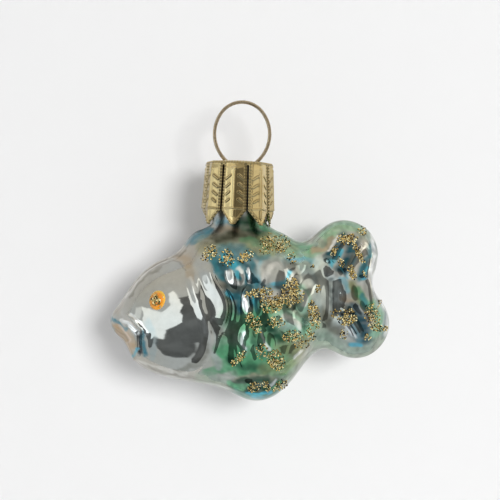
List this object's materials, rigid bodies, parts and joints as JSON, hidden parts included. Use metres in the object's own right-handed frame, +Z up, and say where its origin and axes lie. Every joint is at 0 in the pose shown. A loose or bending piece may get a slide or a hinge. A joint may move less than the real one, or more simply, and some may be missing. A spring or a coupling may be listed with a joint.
{
  "type": "fish ornament",
  "caption": "Small hollow silvered-glass fish ornament with painted scales, enamel eyes and glitter, hung by a wire loop from a folded metal crown cap on its neck.",
  "frame": {"origin": "the hang point: the top of the wire loop's eye, on the loop's centre line", "axes": "+Z up along the hanging line, +X from the head towards the tail, -Y to the fish's left flank"},
  "size_m": [0.044, 0.0196, 0.0473],
  "materials": {
    "hanger_wire": "drawn wire, dull gold wash",
    "crown_cap": "stamped foil-thin sheet, bright gold wash",
    "silvered_glass": "blown glass, silvered inside, transparent teal and green lacquer outside",
    "eye_enamel": "gloss orange enamel",
    "gold_glitter": "metallised film flakes, glued"
  },
  "bodies": {
    "hanger": {"hanger_wire": "hanger_wire"},
    "cap": {"crown_cap": "crown_cap"},
    "glass": {"glass_body": "silvered_glass", "left_eye_enamel": "eye_enamel", "right_eye_enamel": "eye_enamel", "left_eye_pupil": "gold_glitter", "right_eye_pupil": "gold_glitter", "left_nape_glitter": "gold_glitter", "left_back_glitter": "gold_glitter", "left_flank_glitter": "gold_glitter", "left_rear_glitter": "gold_glitter", "left_side_glitter": "gold_glitter", "left_belly_glitter": "gold_glitter", "left_tail_top_glitter": "gold_glitter", "left_tail_low_glitter": "gold_glitter", "right_nape_glitter": "gold_glitter", "right_back_glitter": "gold_glitter", "right_flank_glitter": "gold_glitter", "right_rear_glitter": "gold_glitter", "right_side_glitter": "gold_glitter", "right_belly_glitter": "gold_glitter", "right_tail_top_glitter": "gold_glitter", "right_tail_low_glitter": "gold_glitter"}
  },
  "joints": [
    {"name": "cap_rock", "type": "hinge", "parent": "hanger", "child": "cap", "pos_m": [0, 0, -0.00911], "axis": [1, 0, 0], "range_deg": [-8, 8]},
    {"name": "glass_pull", "type": "slide", "parent": "cap", "child": "glass", "axis": [0, 0, -1], "range_m": [0, 0.012]}
  ]
}
